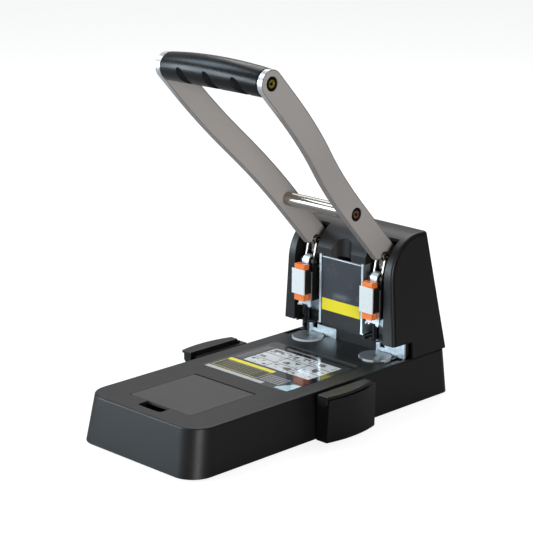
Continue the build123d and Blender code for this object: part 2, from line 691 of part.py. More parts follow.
# ---------------------------------------------------------------- cutter guides
guide_block_top_z = throat_top_z + 2.2
rail_front_y = punch_y - 4.6
guide_half_width = outer_leg_x - leg_thickness - hole_spacing / 2 - 0.3
rail_right = -8.6
cutter_radius = hole_diameter / 2
boss_radius = cutter_radius + 1.2
boss_top_z = throat_top_z + 1.2
for side, x in unit_xs.items():
    sign = sides[side]
    with BuildPart() as cutter_guide:
        block(x - guide_half_width, x + guide_half_width, punch_y - 0.9,
              stop_y - 0.2, throat_top_z, guide_block_top_z)
        block(x - guide_half_width, x + rail_right, rail_front_y, punch_y + 2.0,
              throat_top_z, guide_block_top_z)
        # boss round the cutter, and ears that reach both legs of the channel
        post(x, punch_y, throat_top_z, boss_top_z, boss_radius)
        block(x - guide_half_width + 0.4, x + guide_half_width - 0.4, web_front_y - 3.0,
              web_front_y - 0.1, throat_top_z, web_bottom_z + 6.0)
        post(x, punch_y, throat_top_z - 1, guide_block_top_z + 1,
             cutter_radius + running_fit, mode=Mode.SUBTRACT)
    save(cutter_guide, "cutter_guide_" + side)

# ---------------------------------------------------------------- side frames, shaft, spring
frame_inner_x = outer_rib_x + 0.3
frame_thickness = 2.5
frame_outer_x = frame_inner_x + frame_thickness
frame_back_y = punch_y + 45.0
frame_top_z = pivot_z + 9.5
for side, sign in sides.items():
    with BuildPart() as side_frame:
        low_x, high_x = sorted((sign * frame_inner_x, sign * frame_outer_x))
        block(low_x, high_x, web_back_y + 2.0, frame_back_y, plate_top_z, frame_top_z)
        block(low_x, high_x, punch_y + 9.5, frame_back_y, column_bottom_z + 4.0, frame_top_z)
        rod(low_x - 1, high_x + 1, pivot_y, pivot_z, shaft_diameter / 2 + seat_gap,
            mode=Mode.SUBTRACT)
        # foot flange on the floor plate, turned inwards
        low_x, high_x = sorted((sign * (frame_inner_x - 12.0), sign * frame_outer_x))
        block(low_x, high_x, web_back_y + 6.0, frame_back_y, plate_top_z, plate_top_z + 3.0)
        fillet(side_frame.edges().filter_by(Axis.X).sort_by(Axis.Z)[-2:], 8.0)
    save(side_frame, "side_frame_" + side)

with BuildPart() as cross_tie:
    tie_z = web_top_z - 14.0
    rod(-frame_inner_x, frame_inner_x, web_back_y + 10.0, tie_z, 4.0)
    rod(-frame_inner_x, frame_inner_x, web_back_y + 20.0, tie_z - 45.0, 4.0)
save(cross_tie, "cross_ties")

with BuildPart() as channel_bridge:
    # steel plate that ties both channels to the side frames
    block(-frame_inner_x + 0.1, frame_inner_x - 0.1, web_front_y + web_thickness + 0.05,
          web_front_y + web_thickness + 2.5, web_bottom_z, web_top_z - 2.0)
save(channel_bridge, "channel_bridge")

with BuildPart() as pivot_shaft:
    rod(-frame_outer_x + 0.2, frame_outer_x - 0.2, pivot_y, pivot_z, shaft_diameter / 2)
    chamfer(pivot_shaft.edges().filter_by(GeomType.CIRCLE), 0.6)
save(pivot_shaft, "pivot_shaft")

hub_half_length = 7.0
hub_radius = 8.6
spring_wire = 2.2
spring_half_length = knuckle_half_width - 4.0
with BuildPart() as shaft_rings:
    for x in unit_xs.values():
        for sign in (-1, 1):
            low_x, high_x = sorted((x + sign * (hub_half_length + 0.15),
                                    x + sign * (hub_half_length + 1.35)))
            rod(low_x, high_x, pivot_y, pivot_z, hub_radius - 0.4)
    rod(-column_inner_x, column_inner_x, pivot_y, pivot_z, shaft_diameter / 2 + 0.02,
        mode=Mode.SUBTRACT)
save(shaft_rings, "shaft_rings")

with BuildPart() as lever_spring:
    rod(-spring_half_length, spring_half_length, pivot_y, pivot_z,
        shaft_diameter / 2 + 0.8 + spring_wire)
    rod(-spring_half_length - 1, spring_half_length + 1, pivot_y, pivot_z,
        shaft_diameter / 2 + 0.8, mode=Mode.SUBTRACT)
save(lever_spring, "lever_spring")

# ---------------------------------------------------------------- lever
pin_along = arm_length - pin_to_shaft
pin_radius = 2.5
grip_screw_radius = 5.6
bar_screw_radius = 5.6
bend_offset = (grip_spacing - arm_spacing) / 2
bend_radius = (arm_bend_length ** 2 + bend_offset ** 2) / (4 * bend_offset)
bend_angle = degrees(2 * atan2(bend_offset, arm_bend_length))
scallop_radius = 7.0
pin_y, pin_z = along_arm(pin_along, pin_across)
grip_y, grip_z = along_arm(0.0)
bar_y, bar_z = along_arm(crossbar_from_grip)


def arm_band(sign, thickness):
    """S-bent band of one arm, seen square to its width, as wide as the arm and to spare."""
    band_plane = Plane(origin=(0, *along_arm(0.0, -arm_width)), x_dir=(0, *arm_u),
                       z_dir=(0, *arm_n))
    flip = -1 if band_plane.y_dir.X * sign < 0 else 1
    with BuildPart(mode=Mode.PRIVATE) as band:
        with BuildSketch(band_plane) as outline:
            with BuildLine():
                path = Polyline((-arm_width, flip * grip_spacing / 2),
                                (arm_bend_start, flip * grip_spacing / 2))
                first = JernArc(start=path @ 1, tangent=(1, 0), radius=bend_radius,
                                arc_size=-flip * bend_angle)
                second = JernArc(start=first @ 1, tangent=first % 1, radius=bend_radius,
                                 arc_size=flip * bend_angle)
                Line(second @ 1, (arm_length + arm_width, (second @ 1).Y))
            trace(line_width=thickness)
        extrude(amount=2 * arm_width)
    return band.part


for side, sign in sides.items():
    with BuildPart() as arm:
        add(arm_band(sign, arm_thickness))
        with BuildPart(mode=Mode.PRIVATE) as side_view:
            with BuildSketch(Plane.YZ.offset(-half_length)) as arm_side:
                with Locations((grip_y, grip_z), (pivot_y, pivot_z)):
                    Circle(arm_width / 2)
                make_hull()
                with Locations(along_arm(arm_length - 16.2, -arm_width / 2 - 2.2)):
                    Circle(scallop_radius, mode=Mode.SUBTRACT)
            extrude(amount=2 * half_length)
        add(side_view.part, mode=Mode.INTERSECT)
        outer_x = sign * (grip_spacing / 2 + arm_thickness)
        rod(-half_width, half_width, grip_y, grip_z, grip_core_diameter / 2 + seat_gap - 2.0,
            mode=Mode.SUBTRACT)
        rod(-half_width, half_width, bar_y, bar_z, 3.0 + seat_gap, mode=Mode.SUBTRACT)
        rod(-half_width, half_width, pin_y, pin_z, pin_radius + seat_gap, mode=Mode.SUBTRACT)
        rod(-half_width, half_width, pivot_y, pivot_z, hub_radius + seat_gap,
            mode=Mode.SUBTRACT)
        # counterbores for the two screws in the outer face
        low_x, high_x = sorted((sign * (grip_spacing / 2 + arm_thickness / 2 - 1.8), outer_x))
        rod(low_x, high_x, grip_y, grip_z, grip_screw_radius + 0.4, mode=Mode.SUBTRACT)
        low_x, high_x = sorted((sign * (arm_spacing / 2 + arm_thickness / 2 - 1.8), outer_x))
        rod(low_x, high_x, bar_y, bar_z, bar_screw_radius + 0.4, mode=Mode.SUBTRACT)
    save(arm, "arm_" + side)
    with BuildPart() as hub:
        x = unit_xs[side]
        rod(x - hub_half_length, x + hub_half_length, pivot_y, pivot_z, hub_radius)
        rod(x - hub_half_length - 1, x + hub_half_length + 1, pivot_y, pivot_z,
            shaft_diameter / 2 + running_fit, mode=Mode.SUBTRACT)
        chamfer(hub.edges().filter_by(GeomType.CIRCLE), 0.4)
    save(hub, "arm_hub_" + side)

grip_half = grip_spacing / 2 - arm_thickness / 2 - seat_gap
with BuildPart() as grip_core:
    rod(-grip_half, grip_half, grip_y, grip_z, grip_core_diameter / 2)
    rod(-grip_half - 1, grip_half + 1, grip_y, grip_z, grip_core_diameter / 2 - 2.0,
        mode=Mode.SUBTRACT)
save(grip_core, "grip_core")

# the grip: a tube that swells and bows away from the arms in its middle
grip_end_radius = grip_end_diameter / 2
bow_directions = (-arm_u[0], -arm_u[1])
with BuildPart() as grip:
    stations = (-1.0, -0.5, 0.0, 0.5, 1.0)
    for station in stations:
        swell = 1 - station ** 2
        with BuildSketch(Plane(origin=(station * grip_half,
                                       grip_y + bow_directions[0] * grip_bow * swell,
                                       grip_z + bow_directions[1] * grip_bow * swell),
                               x_dir=(0, 1, 0), z_dir=(1, 0, 0))):
            Circle(grip_end_radius + (grip_diameter / 2 - grip_end_radius) * swell)
    loft()
    rod(-grip_half - 1, grip_half + 1, grip_y, grip_z, grip_core_diameter / 2 + seat_gap,
        mode=Mode.SUBTRACT)
save(grip, "grip")

with BuildPart() as crossbar:
    bar_half = arm_spacing / 2 - arm_thickness / 2 - seat_gap
    rod(-bar_half, bar_half, bar_y, bar_z, crossbar_diameter / 2)
    rod(-bar_half - 1, bar_half + 1, bar_y, bar_z, 3.0 - 0.6, mode=Mode.SUBTRACT)
save(crossbar, "crossbar")


def cross_screws(inner_x, outer_x, y, z, head, shank, label):
    """Pair of countersunk cross-head screws in the outer faces of the arms."""
    with BuildPart() as screws:
        for sign in (-1, 1):
            low_x, high_x = sorted((sign * (outer_x - 1.7), sign * (outer_x - 0.3)))
            rod(low_x, high_x, y, z, head)
            low_x, high_x = sorted((sign * inner_x, sign * (outer_x - 1.0)))
            rod(low_x, high_x, y, z, shank)
            with Locations((sign * (outer_x - 0.3), y, z)):
                Box(1.6, 6.0, 1.3, mode=Mode.SUBTRACT)
                Box(1.6, 1.3, 6.0, mode=Mode.SUBTRACT)
    save(screws, label)


cross_screws(grip_half - 12.0, grip_spacing / 2 + arm_thickness / 2, grip_y, grip_z,
             grip_screw_radius, grip_core_diameter / 2 - 2.0 - seat_gap, "grip_screws")
cross_screws(bar_half - 10.0, arm_spacing / 2 + arm_thickness / 2, bar_y, bar_z,
             bar_screw_radius, 3.0 - 0.6 - seat_gap, "crossbar_screws")

pin_half_length = 3.7
with BuildPart() as link_pins:
    for x in unit_xs.values():
        rod(x - pin_half_length, x + pin_half_length, pin_y, pin_z, pin_radius)
        for sign in (-1, 1):
            low_x, high_x = sorted((x + sign * (arm_thickness / 2 + seat_gap),
                                    x + sign * (arm_thickness / 2 + 0.85)))
            rod(low_x, high_x, pin_y, pin_z, pin_radius + 1.9)
save(link_pins, "link_pins")

# ---------------------------------------------------------------- punch units
axle_from_punch = 1.2
axle_z = 111.0
axle_radius = 1.5
roller_radius = 4.0
roller_half_width = 3.3
ear_inner = 5.9
ear_outer = 7.5
unit_half_width = 7.5
slider_bottom_z = 76.0
slider_top_z = 103.5
slider_back_from_punch = 9.0
strap_front_from_punch = 4.3
strap_thickness = 1.2
strap_bottom_z = 70.4
strap_arch_half_width = 3.4
strap_toe_width = 1.6
holder_front_from_punch = 12.4
cover_front_from_punch = 13.6
cover_bottom_z = 83.0
cover_top_z = 105.8
latch_left = -6.6
latch_right = 4.8
latch_front_from_punch = 11.0
latch_back_from_punch = 4.7
latch_travel = 3.0
latch_proud = 3.7
latch_bottom_z = cover_bottom_z - latch_travel - latch_proud
latch_top_z = cover_top_z + latch_proud
tab_half_width = 3.6
axle_y = punch_y + axle_from_punch
curl_inner = roller_radius + piece_gap
curl_outer = curl_inner + strap_thickness
strap_y0 = punch_y - strap_front_from_punch
strap_y1 = strap_y0 + strap_thickness
cutter_bore = 2.2
link_inner = 4.0
link_outer = 5.4
link_eye = 3.0
link_width = 1.7
for side, x in unit_xs.items():
    with BuildPart() as slider:
        # block that runs in the channel and carries the cutter
        block(x - unit_half_width, x + unit_half_width, strap_y1 + seat_gap,
              punch_y + slider_back_from_punch, slider_bottom_z, slider_top_z)
        for sign in (-1, 1):
            low_x, high_x = sorted((x + sign * ear_inner, x + sign * ear_outer))
            block(low_x, high_x, axle_y - 3.2, axle_y + 3.2, slider_top_z - 1, axle_z)
            rod(low_x, high_x, axle_y, axle_z, 3.2)
            rod(low_x - 1, high_x + 1, axle_y, axle_z, axle_radius + seat_gap,
                mode=Mode.SUBTRACT)
        post(x, punch_y, slider_bottom_z - 1, slider_bottom_z + 22.0,
             cutter_radius + seat_gap, mode=Mode.SUBTRACT)
    save(slider, "slider_" + side)
    with BuildPart() as cutter:
        post(x, punch_y, cutter_tip_z, slider_bottom_z + 22.0 - seat_gap, cutter_radius)
        post(x, punch_y, cutter_tip_z - 1, slider_bottom_z + 30.0, cutter_bore,
             mode=Mode.SUBTRACT)
        chamfer(cutter.edges().filter_by(GeomType.CIRCLE).group_by(Axis.Z)[0]
                .sort_by(Edge.length)[-1:], 0.6)
    save(cutter, "cutter_" + side)
    with BuildPart() as strap:
        # flat strap with a top tab that curls over the roller
        block(x - unit_half_width, x + unit_half_width, strap_y0, strap_y1, strap_bottom_z,
              slider_top_z - 1.0)
        with BuildSketch(Plane.YZ.offset(x - tab_half_width)) as curl:
            with Locations((axle_y, axle_z)):
                Circle(curl_outer)
                Circle(curl_inner, mode=Mode.SUBTRACT)
            with Locations((axle_y + curl_outer, axle_z)):
                Rectangle(2 * curl_outer, 4 * curl_outer, mode=Mode.SUBTRACT)
            with Locations((axle_y, axle_z - curl_outer)):
                Rectangle(4 * curl_outer, 2 * curl_outer, mode=Mode.SUBTRACT)
            with Locations((axle_y + 1.0, axle_z + (curl_inner + curl_outer) / 2)):
                Rectangle(2.4, strap_thickness)
        extrude(amount=2 * tab_half_width)
        curl_front = axle_y - curl_outer
        block(x - tab_half_width, x + tab_half_width, curl_front, curl_front + strap_thickness,
              slider_top_z - 4.0, axle_z)
        # arch that clears the guide's boss, and two small turned toes beside it
        block(x - strap_arch_half_width, x + strap_arch_half_width, strap_y0 - 1, strap_y1 + 1,
              strap_bottom_z - 1, boss_top_z + punch_stroke + piece_gap, mode=Mode.SUBTRACT)
        for sign in (-1, 1):
            low_x, high_x = sorted((x + sign * (unit_half_width - strap_toe_width),
                                    x + sign * unit_half_width))
            block(low_x, high_x, strap_y0 - 1.2, strap_y1, strap_bottom_z, strap_bottom_z + 1.4)
    save(strap, "strap_" + side)
    with BuildPart() as holder:
        # black holder around the latch, in front of the strap
        block(x - unit_half_width + 0.1, x + unit_half_width - 0.1,
              punch_y - holder_front_from_punch, strap_y0 - seat_gap,
              cover_bottom_z + 0.4, cover_top_z - 1.0)
        block(x + latch_left - running_fit * 2, x + latch_right + running_fit * 2,
              punch_y - latch_front_from_punch - running_fit * 2,
              punch_y - latch_back_from_punch + running_fit * 2,
              cover_bottom_z - 1, cover_top_z + 1, mode=Mode.SUBTRACT)
        # roof over the roller side is cut away for the curled tab
        block(x - tab_half_width - 0.3, x + tab_half_width + 0.3, curl_front - 0.4,
              punch_y + 5, slider_top_z - 4.4, cover_top_z + 1, mode=Mode.SUBTRACT)
    save(holder, "holder_" + side)
    with BuildPart() as cover:
        block(x - unit_half_width, x + unit_half_width, punch_y - cover_front_from_punch,
              punch_y - holder_front_from_punch - seat_gap, cover_bottom_z, cover_top_z)
        fillet(cover.faces().sort_by(Axis.Y)[0].edges(), 0.4)
    save(cover, "unit_cover_" + side)
    with BuildPart() as latch:
        block(x + latch_left, x + latch_right, punch_y - latch_front_from_punch,
              punch_y - latch_back_from_punch, latch_bottom_z, latch_top_z)
        # the back of its top is stepped down behind a thumb ridge
        block(x + latch_left + 2.0, x + latch_right - 2.0, curl_front - 0.4 - 2.2,
              punch_y, cover_top_z + 1.6, latch_top_z + 1, mode=Mode.SUBTRACT)
        fillet(latch.faces().sort_by(Axis.Z)[0].edges(), 0.5)
    save(latch, "latch_" + side)
    with BuildPart() as axle:
        rod(x - ear_outer, x + ear_outer, axle_y, axle_z, axle_radius)
    save(axle, "axle_" + side)
    with BuildPart() as roller:
        rod(x - roller_half_width, x + roller_half_width, axle_y, axle_z, roller_radius)
        rod(x - roller_half_width - 1, x + roller_half_width + 1, axle_y, axle_z,
            axle_radius + running_fit, mode=Mode.SUBTRACT)
    save(roller, "roller_" + side)
    with BuildPart() as link:
        # pair of slim side links that hook the roller axle to the lever pin
        for sign in (-1, 1):
            low_x, high_x = sorted((x + sign * link_inner, x + sign * link_outer))
            with BuildSketch(Plane.YZ.offset(low_x)) as link_side:
                with BuildLine():
                    Line((axle_y, axle_z), (pin_y, pin_z))
                trace(line_width=link_width)
                with Locations((axle_y, axle_z)):
                    Circle(axle_radius + 1.3)
                with Locations((pin_y, pin_z)):
                    Circle(link_eye)
                with Locations((axle_y, axle_z)):
                    Circle(axle_radius + running_fit, mode=Mode.SUBTRACT)
                with Locations((pin_y, pin_z)):
                    Circle(link_eye - 1.3, mode=Mode.SUBTRACT)
            extrude(amount=high_x - low_x)
    save(link, "link_" + side)
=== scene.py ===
import math

import bmesh
import bpy
import numpy as np
from mathutils import Matrix, Vector


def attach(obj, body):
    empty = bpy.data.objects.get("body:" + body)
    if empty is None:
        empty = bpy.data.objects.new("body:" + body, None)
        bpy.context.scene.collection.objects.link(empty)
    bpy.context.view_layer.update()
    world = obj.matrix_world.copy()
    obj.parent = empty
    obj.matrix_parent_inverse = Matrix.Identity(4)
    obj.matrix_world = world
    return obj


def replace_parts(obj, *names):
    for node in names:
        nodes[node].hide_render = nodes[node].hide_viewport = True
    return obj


# Desk hole punch with a raised twin-arm lever. Lengths are in millimetres in the numbers
# below and in metres in the meshes. X right, Y from the front edge to the head, Z up.

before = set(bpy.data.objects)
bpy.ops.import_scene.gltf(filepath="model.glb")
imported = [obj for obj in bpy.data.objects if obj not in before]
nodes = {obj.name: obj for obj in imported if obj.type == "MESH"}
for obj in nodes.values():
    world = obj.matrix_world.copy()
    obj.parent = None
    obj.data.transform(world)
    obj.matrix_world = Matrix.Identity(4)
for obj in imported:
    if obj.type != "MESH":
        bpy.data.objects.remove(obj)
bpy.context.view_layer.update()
MM = 0.001

# ---------------------------------------------------------------- sizes shared with the source
PUNCH_Y = 88.25                    # line of the two cutters
UNIT_X = 40.0                      # each cutter stands this far from the middle
PIVOT = (108.85, 119.1)            # lever shaft, (y, z)
ARM_ANGLE = math.radians(46.77)
ARM_U = (math.cos(ARM_ANGLE), -math.sin(ARM_ANGLE))    # grip to shaft, (y, z)
ARM_N = (math.sin(ARM_ANGLE), math.cos(ARM_ANGLE))     # front edge to back edge, (y, z)
ARM_LENGTH = 248.0
ARM_HALF_WIDTH = 11.2
GRIP = (PIVOT[0] - ARM_LENGTH * ARM_U[0], PIVOT[1] - ARM_LENGTH * ARM_U[1])
GRIP_HALF = 55.35
GRIP_RADIUS = (11.6, 12.8)         # at its ends and in its middle
GRIP_BOW = 2.8
GRIP_EDGE = (1.2, 0.9)             # rounding of its end edges: along it, and inwards
FINGER_MIDDLES = (-31.0, 0.0, 31.0)
FINGER_DEPTH = 2.4
FINGER_ARC = 217.0                 # degrees round the grip, from +Y over +Z
FINGER_RADIUS = 12.4               # turns that arc into a length
FINGER_SLANT = (3.2, 0.42)         # shift to the right, and more of it for each mm down
FINGER_WIDTHS = (3.4, 6.6)         # half widths, to the left and to the right
FINGER_LENGTHS = (9.5, 11.5)       # half lengths, above and below
BAR_FROM_GRIP = 174.2
BAR = (GRIP[0] + BAR_FROM_GRIP * ARM_U[0], GRIP[1] + BAR_FROM_GRIP * ARM_U[1])
SPRING_HALF, SPRING_RADIUS, SPRING_WIRE = 22.8, 7.85, 1.1
SPRING_TURNS = 18
HEAD_FRONT_Y = PUNCH_Y - 4.7
HEAD_GROOVE = (2.6, 3.5)           # nearer and farther edge, inside the outline
HEAD_ROUND = 37.3
HEAD_TOP_Z = 149.2
LABEL_X = (-49.8, 49.8)
LABEL_Y = (PUNCH_Y - 121.9, PUNCH_Y - 30.9)
DISC_RIM = 13.5
YELLOW_BAND = (70.7, 81.5)         # on the head's panel, in Z
PANEL_TOP = 118.2


# ---------------------------------------------------------------- surfaces
def link(piece):
    """Put an object in the scene."""
    bpy.context.scene.collection.objects.link(piece)
    return piece


def surface(name, points):
    """Mesh of a tube given as rings of points: vertex (i, j) is joined to (i+1, j),
    (i+1, j+1) and (i, j+1), the last point of a ring to its first, and each open end is
    closed with a fan to the middle of its ring."""
    points = np.asarray(points, float)
    nu, nv = points.shape[:2]
    i, j = (a.ravel() for a in np.meshgrid(np.arange(nu - 1), np.arange(nv), indexing="ij"))
    i2, j2 = i + 1, (j + 1) % nv
    quads = np.stack([i * nv + j, i2 * nv + j, i2 * nv + j2, i * nv + j2], -1)
    middles = np.array([points[0].mean(0), points[-1].mean(0)])
    vertices = np.vstack([points.reshape(-1, 3), middles])
    ring = np.arange(nv)
    following = (ring + 1) % nv
    first, last, offset = nu * nv, nu * nv + 1, (nu - 1) * nv
    faces = quads.tolist()
    faces += np.stack([ring, following, np.full(nv, first)], -1).tolist()
    faces += np.stack([offset + following, offset + ring, np.full(nv, last)], -1).tolist()
    mesh = bpy.data.meshes.new(name)
    mesh.from_pydata((vertices * MM).tolist(), [], faces)
    mesh.polygons.foreach_set("use_smooth", np.ones(len(mesh.polygons), bool))
    mesh.update()
    return link(bpy.data.objects.new(name, mesh))


def tube(path, radius, sides):
    """Points of a round tube: at each point of the path, a ring of the given radius in the
    plane square to the path. The ring's frame is carried along without twisting by taking
    a fixed reference vector and making it square to each tangent."""
    path = np.asarray(path, float)
    tangent = np.gradient(path, axis=0)
    tangent /= np.linalg.norm(tangent, axis=1, keepdims=True)
    reference = np.where(np.abs(tangent[:, :1]) > 0.9, [[0.0, 0.0, 1.0]], [[1.0, 0.0, 0.0]])
    across = np.cross(tangent, reference)
    across /= np.linalg.norm(across, axis=1, keepdims=True)
    other = np.cross(tangent, across)
    turn = np.linspace(0, 2 * np.pi, sides, endpoint=False)
    ring = (across[:, None] * np.cos(turn)[None, :, None]
            + other[:, None] * np.sin(turn)[None, :, None])
    return path[:, None] + ring * radius


def outwards(piece):
    """Turn every face of a closed piece outwards."""
    work = bmesh.new()
    work.from_mesh(piece.data)
    bmesh.ops.recalc_face_normals(work, faces=work.faces)
    work.to_mesh(piece.data)
    work.free()
    return piece


# ---------------------------------------------------------------- shader maths
class Value:
    """A number over the surface. Arithmetic on it adds Math nodes to its material."""

    def __init__(self, paint, socket):
        self.paint, self.socket = paint, socket

    def math(self, operation, first, second=None):
        given = {0: first} if second is None else {0: first, 1: second}
        return self.paint.node("ShaderNodeMath", {"operation": operation}, given)

    def wrap(self, step):
        """The remainder after whole steps, which repeats a pattern every step."""
        return self.math("FRACT", self / step) * step

    def __add__(self, other): return self.math("ADD", self, other)
    def __radd__(self, other): return self.math("ADD", other, self)
    def __sub__(self, other): return self.math("SUBTRACT", self, other)
    def __rsub__(self, other): return self.math("SUBTRACT", other, self)
    def __mul__(self, other): return self.math("MULTIPLY", self, other)
    def __truediv__(self, other): return self.math("DIVIDE", self, other)
    def __pow__(self, other): return self.math("POWER", self, other)
    def __abs__(self): return self.math("ABSOLUTE", self)
    def over(self, other): return self.math("MAXIMUM", self, other)

    def rise(self, low, high):
        """0 below low, 1 above high, smooth between them."""
        return self.paint.node("ShaderNodeMapRange", {"interpolation_type": "SMOOTHSTEP"},
                               {0: self, 1: low, 2: high})

    def within(self, low, high, soft=0.12):
        """1 between low and high, with a soft edge on both sides."""
        return self.rise(low - soft, low + soft) * (1 - self.rise(high - soft, high + soft))


class Graph:
    """A node tree being built, in a material or in the world."""

    def __init__(self, tree):
        self.tree = tree

    def node(self, kind, settings=None, sockets=None, output=0):
        """Any node: its settings first, then the values or links of its sockets."""
        made = self.tree.nodes.new(kind)
        for key, value in (settings or {}).items():
            setattr(made, key, value)
        for key, value in (sockets or {}).items():
            self.put(made.inputs[key], value)
        return Value(self, made.outputs[output])

    def put(self, socket, value):
        if isinstance(value, Value):
            self.tree.links.new(value.socket, socket)
        elif socket.type == "RGBA" and len(value) == 3:
            socket.default_value = (*value, 1.0)
        else:
            socket.default_value = value

    def parts(self, vector):
        """The x, y and z of a vector."""
        split = self.node("ShaderNodeSeparateXYZ", None, {0: vector}).socket.node
        return tuple(Value(self, split.outputs[k]) for k in range(3))

    def mix(self, mask, low, high):
        """Colour low where the mask is 0 and high where it is 1."""
        return self.node("ShaderNodeMix", {"data_type": "RGBA"},
                         {0: mask, 6: low, 7: high}, output=2)


class Paint(Graph):
    """A material being built: one Principled shader and the nodes that feed it."""

    def __init__(self, name, color, roughness, metallic=0.0, **constants):
        self.material = bpy.data.materials.new(name)
        self.material.use_nodes = True
        self.material.diffuse_color = (*color, 1.0)
        super().__init__(self.material.node_tree)
        self.shader = self.tree.nodes["Principled BSDF"]
        for socket, value in {"Base Color": color, "Roughness": roughness,
                              "Metallic": metallic, **constants}.items():
            self.put(self.shader.inputs[socket], value)

    def place(self):
        """Object coordinates in millimetres: the vector, x, y and z."""
        local = self.node("ShaderNodeTexCoord", output=3)
        vector = self.node("ShaderNodeVectorMath", {"operation": "SCALE"},
                           {0: local, 3: 1 / MM})
        return vector, *self.parts(vector)

    def facing(self):
        """Surface normal's x, y and z."""
        return self.parts(self.node("ShaderNodeNewGeometry", output=1))

    def noise(self, vector, scale, detail=2.0, roughness=0.5):
        """Cloudy noise, with scale in features per millimetre."""
        return self.node("ShaderNodeTexNoise", None,
                         {"Vector": vector, "Scale": scale, "Detail": detail,
                          "Roughness": roughness})

    def stretched(self, vector, scales):
        """The vector with each axis multiplied, for grain that runs one way."""
        return self.node("ShaderNodeVectorMath", {"operation": "MULTIPLY"},
                         {0: vector, 1: scales})

    def bump(self, height, distance, strength=1.0):
        """Surface relief from a height in units of the distance, in millimetres."""
        self.put(self.shader.inputs["Normal"],
                 self.node("ShaderNodeBump", None, {"Strength": strength,
                           "Distance": distance * MM, "Height": height}))

    def feed(self, socket, value):
        self.put(self.shader.inputs[socket], value)


def tint(color, factor):
    return tuple(min(1.0, c * factor) for c in color)


def srgb(*levels):
    """Linear colour of an 8-bit screen colour."""
    return tuple(((v / 255 + 0.055) / 1.055) ** 2.4 if v > 10 else v / 255 / 12.92
                 for v in levels)


def corner_distance(y, z):
    """Distance of a side-on point inside the head's front outline: the corner's radius
    less the length of what lies beyond the corner's centre in y and in z."""
    beyond_y = (HEAD_FRONT_Y + HEAD_ROUND - y).over(0.0)
    beyond_z = (z - (HEAD_TOP_Z - HEAD_ROUND)).over(0.0)
    return HEAD_ROUND - (beyond_y ** 2.0 + beyond_z ** 2.0) ** 0.5


# ---------------------------------------------------------------- finishes
def moulded_black(name, color=srgb(19, 18, 18), roughness=0.42, grain=0.02, extra=None):
    """Spark-eroded moulded plastic: fine two-scale grain, faint cloudy wear in the gloss."""
    paint = Paint(name, color, roughness, **{"Specular IOR Level": 0.36})
    vector, x, y, z = paint.place()
    fine = paint.noise(vector, 2.6, 3.0, 0.7)
    coarse = paint.noise(vector, 0.05, 2.0)
    speck = paint.noise(vector, 9.0, 1.0).rise(0.70, 0.78)
    shade = paint.mix(coarse, tint(color, 0.86), tint(color, 1.14))
    shade = paint.mix(speck * 0.35, shade, tint(color, 2.1))
    rough = roughness + (coarse - 0.5) * 0.12 + (fine - 0.5) * 0.10
    height = fine
    if extra:
        shade, rough, height = extra(paint, x, y, z, shade, rough, height)
    paint.feed("Base Color", shade)
    paint.feed("Roughness", rough)
    paint.bump(height, grain, 1.0)
    return paint.material


def groove_painted_shade(paint, x, y, z, shade, rough, height):
    """Painted shade: the floor of the narrow groove along the front and top edges of both sides
    is coloured nearly black, and made drier.
    """
    groove = corner_distance(y, z).within(*HEAD_GROOVE, 0.1)
    sides = abs(paint.facing()[0]).rise(0.80, 0.95)
    mask = groove * sides * z.rise(56.0, 57.0)
    # nearly black painted shade in the groove, a little rougher there
    return paint.mix(mask, shade, srgb(4, 4, 4)), rough + mask * 0.4, height


def lid_wear(paint, x, y, z, shade, rough, height):
    """Slightly drier and colder patch where fingers reach the lid's notch."""
    mask = (1 - abs(x).rise(6.0, 26.0)) * (1 - (y + 126.0).rise(4.0, 22.0))
    return paint.mix(mask * 0.25, shade, srgb(58, 57, 58)), rough + mask * 0.05, height


def galvanised(name):
    """Zinc-plated sheet: spangled crystals a few millimetres wide in blue-grey."""
    paint = Paint(name, srgb(205, 216, 220), 0.32, 0.9)
    vector, *_ = paint.place()
    cells = paint.node("ShaderNodeTexVoronoi", {"feature": "F1"},
                       {"Vector": vector, "Scale": 0.45}, output=1)
    spangle = paint.node("ShaderNodeSeparateColor", None, {0: cells})
    cloud = paint.noise(vector, 0.5, 3.0)
    paint.feed("Base Color", paint.mix(spangle * 0.6 + cloud * 0.4,
                                       srgb(176, 188, 195), srgb(214, 222, 226)))
    paint.feed("Roughness", 0.34 + spangle * 0.10 + cloud * 0.06)
    paint.bump(paint.noise(vector, 1.6, 2.0), 0.01, 0.25)
    return paint.material


def ground_steel(name, color, roughness=0.3, along=(0.25, 6.0, 6.0)):
    """Turned or ground steel: fine marks that run along X."""
    paint = Paint(name, color, roughness, 1.0)
    vector, *_ = paint.place()
    marks = paint.noise(paint.stretched(vector, along), 1.0, 3.0, 0.6)
    cloud = paint.noise(vector, 0.15, 2.0)
    paint.feed("Base Color", paint.mix(marks, tint(color, 0.85), tint(color, 1.1)))
    paint.feed("Roughness", roughness + (marks - 0.5) * 0.14 + (cloud - 0.5) * 0.08)
    paint.bump(marks, 0.02, 0.3)
    return paint.material


